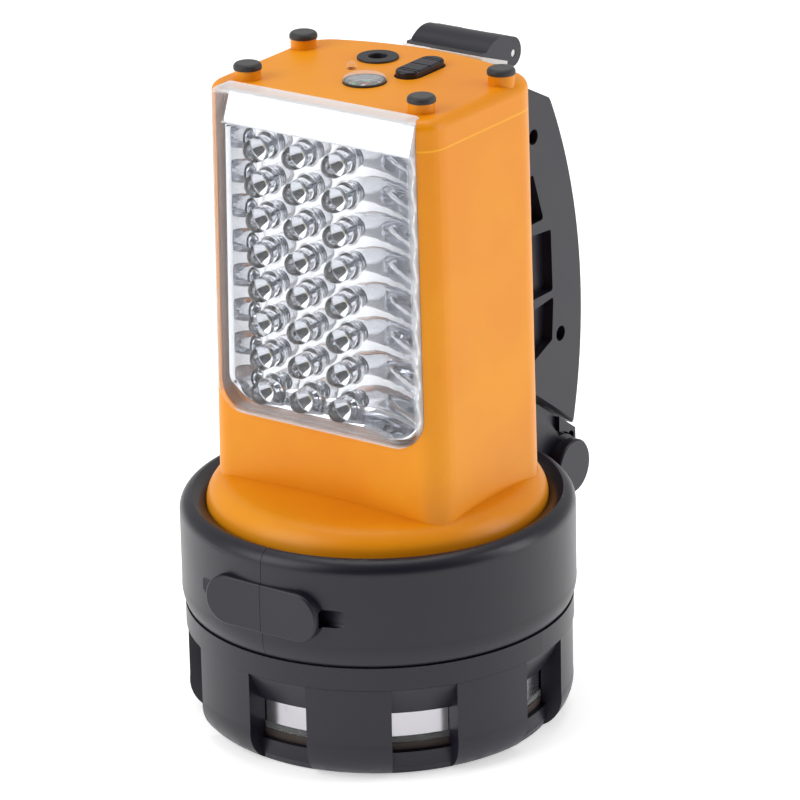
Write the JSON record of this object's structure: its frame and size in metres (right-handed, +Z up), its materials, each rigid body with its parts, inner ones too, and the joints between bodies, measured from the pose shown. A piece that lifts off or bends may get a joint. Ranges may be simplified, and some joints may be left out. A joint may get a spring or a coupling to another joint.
{
  "type": "searchlight lantern",
  "caption": "Standing rechargeable searchlight lantern with guard ring, side LED window, tilting rear handle and flip-up auxiliary lamp.",
  "frame": {"origin": "spotlight axis on the flat standing face of the guard ring", "axes": "+Z up along the body, -Y out of the LED window, +Y towards the handle, X across"},
  "size_m": [0.1282, 0.163, 0.2182],
  "materials": {
    "black_plastic": "fine satin ABS",
    "orange_plastic": "satin ABS",
    "rubber": "matt",
    "clear_plastic": "clear polycarbonate",
    "led_clear": "clear epoxy",
    "glass": "clear glass",
    "chrome": "vacuum metallised",
    "steel": "zinc plated",
    "dark_plastic": "matt",
    "board_green": "solder mask",
    "dial": "printed card"
  },
  "bodies": {
    "lantern": {"battery": "dark_plastic", "body_housing": "orange_plastic", "bulb_holder": "dark_plastic", "charge_lamp": "clear_plastic", "collar_left": "black_plastic", "collar_right": "black_plastic", "collar_screw": "steel", "compass_cup": "dark_plastic", "compass_glass": "clear_plastic", "control_board": "board_green", "crown_guard": "black_plastic", "dc_jack": "black_plastic", "hinge_axle": "steel", "jack_pin": "steel", "led_board": "board_green", "led_cover": "clear_plastic", "led_reflector": "chrome", "leds": "led_clear", "lens_gasket": "rubber", "rubber_feet": "rubber", "spot_bulb": "glass", "spot_lens": "glass", "spot_reflector": "chrome", "switch_body": "dark_plastic", "top_cap": "orange_plastic"},
    "handle": {"grip_left": "black_plastic", "grip_right": "black_plastic", "grip_screws": "steel", "hinge_block": "black_plastic", "flip_pin": "steel"},
    "tilt_button": {"tilt_button": "black_plastic"},
    "flip_lamp": {"flip_cover": "black_plastic", "flip_lens": "clear_plastic", "flip_reflector": "chrome"},
    "rocker": {"switch_rocker": "black_plastic"},
    "compass_card": {"compass_card": "dial"}
  },
  "joints": [
    {"name": "handle_tilt", "type": "hinge", "parent": "lantern", "child": "handle", "pos_m": [0, 0.0822, 0.0599], "axis": [-1, 0, 0], "range_deg": [0, 90]},
    {"name": "button_press", "type": "slide", "parent": "lantern", "child": "tilt_button", "axis": [-1, 0, 0], "range_m": [0, 0.002], "stiffness_N_per_m": 800},
    {"name": "lamp_flip", "type": "hinge", "parent": "handle", "child": "flip_lamp", "pos_m": [0, 0.06, 0.2083], "axis": [-1, 0, 0], "range_deg": [0, 105]},
    {"name": "switch_rock", "type": "hinge", "parent": "lantern", "child": "rocker", "pos_m": [0.0086, 0.0162, 0.2095], "axis": [1, 0, 0], "range_deg": [-5, 5]},
    {"name": "card_spin", "type": "hinge", "parent": "lantern", "child": "compass_card", "pos_m": [0.0006, -0.0026, 0.2117], "axis": [0, 0, 1], "continuous": true}
  ]
}
